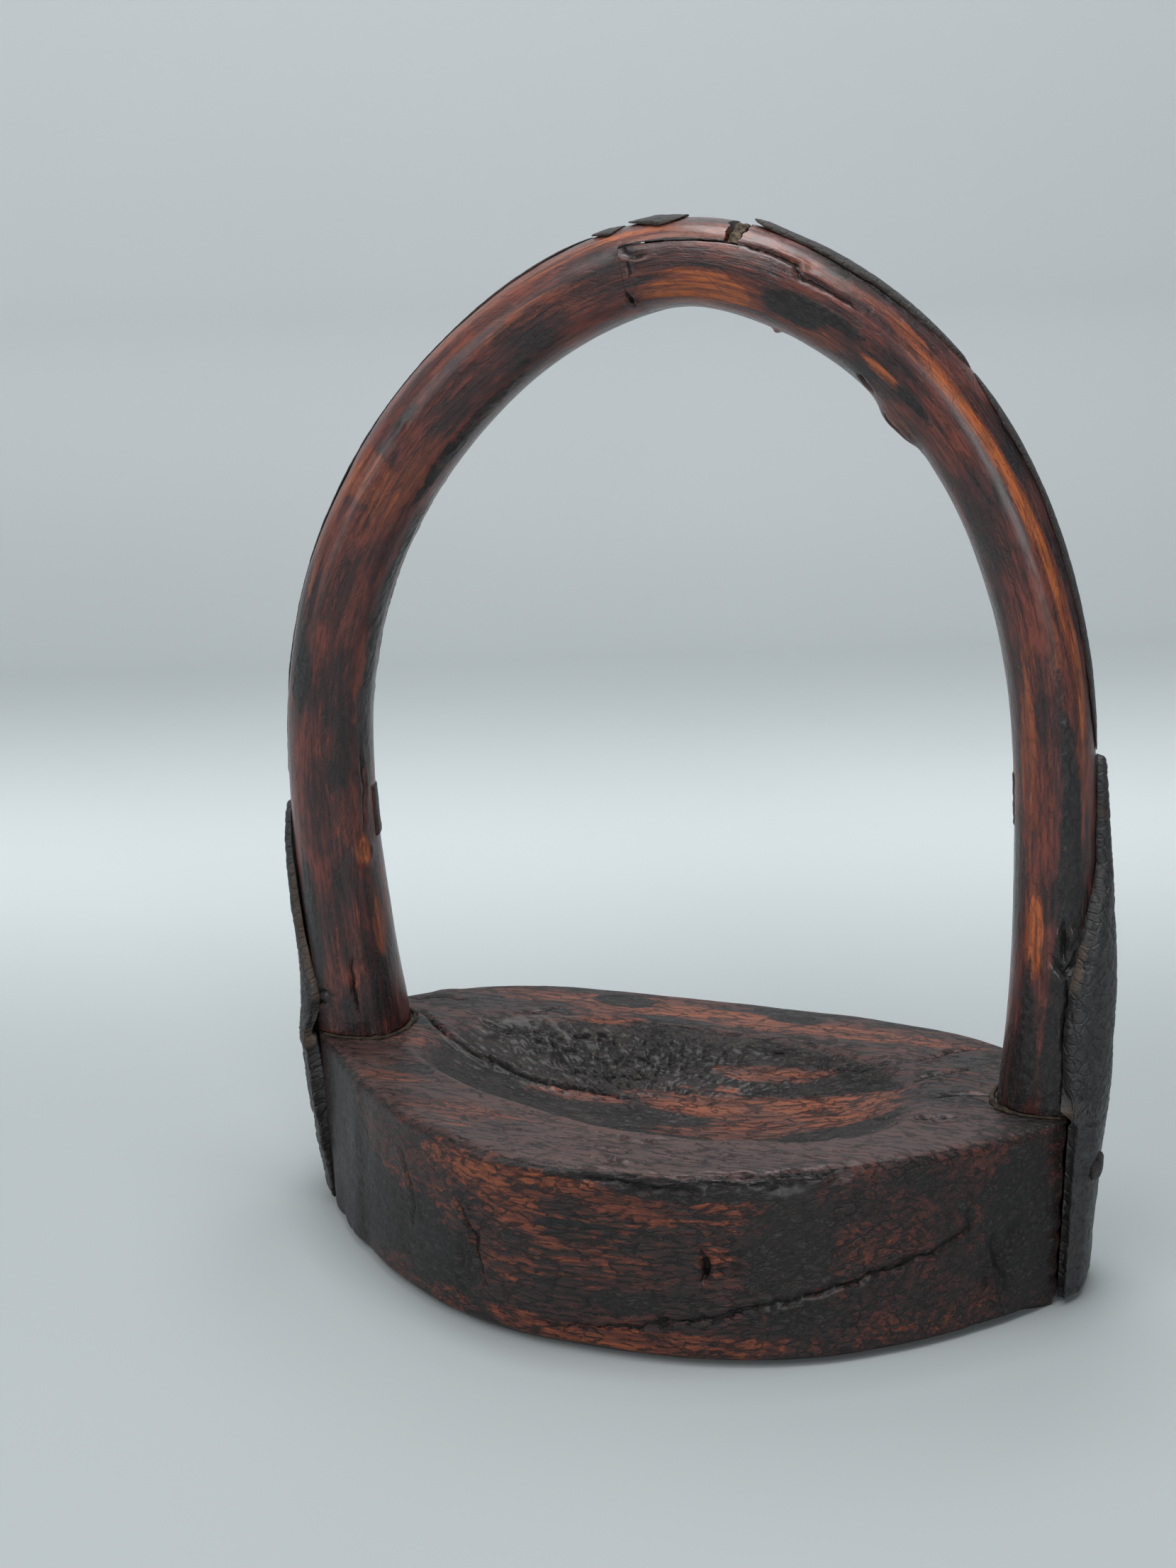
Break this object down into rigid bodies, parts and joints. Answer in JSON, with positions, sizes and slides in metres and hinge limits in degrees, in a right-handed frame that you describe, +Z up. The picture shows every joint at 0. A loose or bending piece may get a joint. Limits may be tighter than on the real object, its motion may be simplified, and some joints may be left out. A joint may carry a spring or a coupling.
{
  "type": "riding stirrup",
  "caption": "Old bent-wood stirrup: round bow lapped at the crown, thick dished lens-shaped tread block, hide strips and cheeks over the joints.",
  "frame": {"origin": "middle of the flat base of the tread block, on the floor", "axes": "X across the width between the legs (the leg with the longer cheek is at +X), the front looks towards -Y, Z up towards the crown"},
  "size_m": [0.1552, 0.0782, 0.1859],
  "materials": {
    "tread_lacquer": "worn satin lacquer",
    "bow_lacquer": "worn satin lacquer",
    "brown_putty": "rough putty",
    "peg_wood": "matte",
    "cheek_hide": "worn satin lacquer",
    "strip_hide": "cracked lacquer",
    "slip_hide": "matte",
    "nail_iron": "lacquered"
  },
  "bodies": {
    "root": {"tread_block": "tread_lacquer", "bow_left": "bow_lacquer", "bow_right": "bow_lacquer", "crown_filler": "brown_putty", "lap_peg_left": "peg_wood", "lap_peg_right": "peg_wood", "cheek_left": "cheek_hide", "cheek_right": "cheek_hide", "cheek_stud_left": "nail_iron", "cheek_stud_right": "nail_iron", "outer_strip_left": "strip_hide", "outer_strip_right": "strip_hide", "crown_flake_small": "strip_hide", "crown_flake_large": "strip_hide", "crown_strip_right": "strip_hide", "seat_putty_left": "brown_putty", "seat_putty_right": "brown_putty", "inner_slip_left": "slip_hide", "inner_slip_right": "slip_hide", "tongue_peg_left_upper": "peg_wood", "tongue_peg_left_lower": "peg_wood", "tongue_peg_right_upper": "peg_wood", "tongue_peg_right_lower": "peg_wood"}
  },
  "joints": []
}
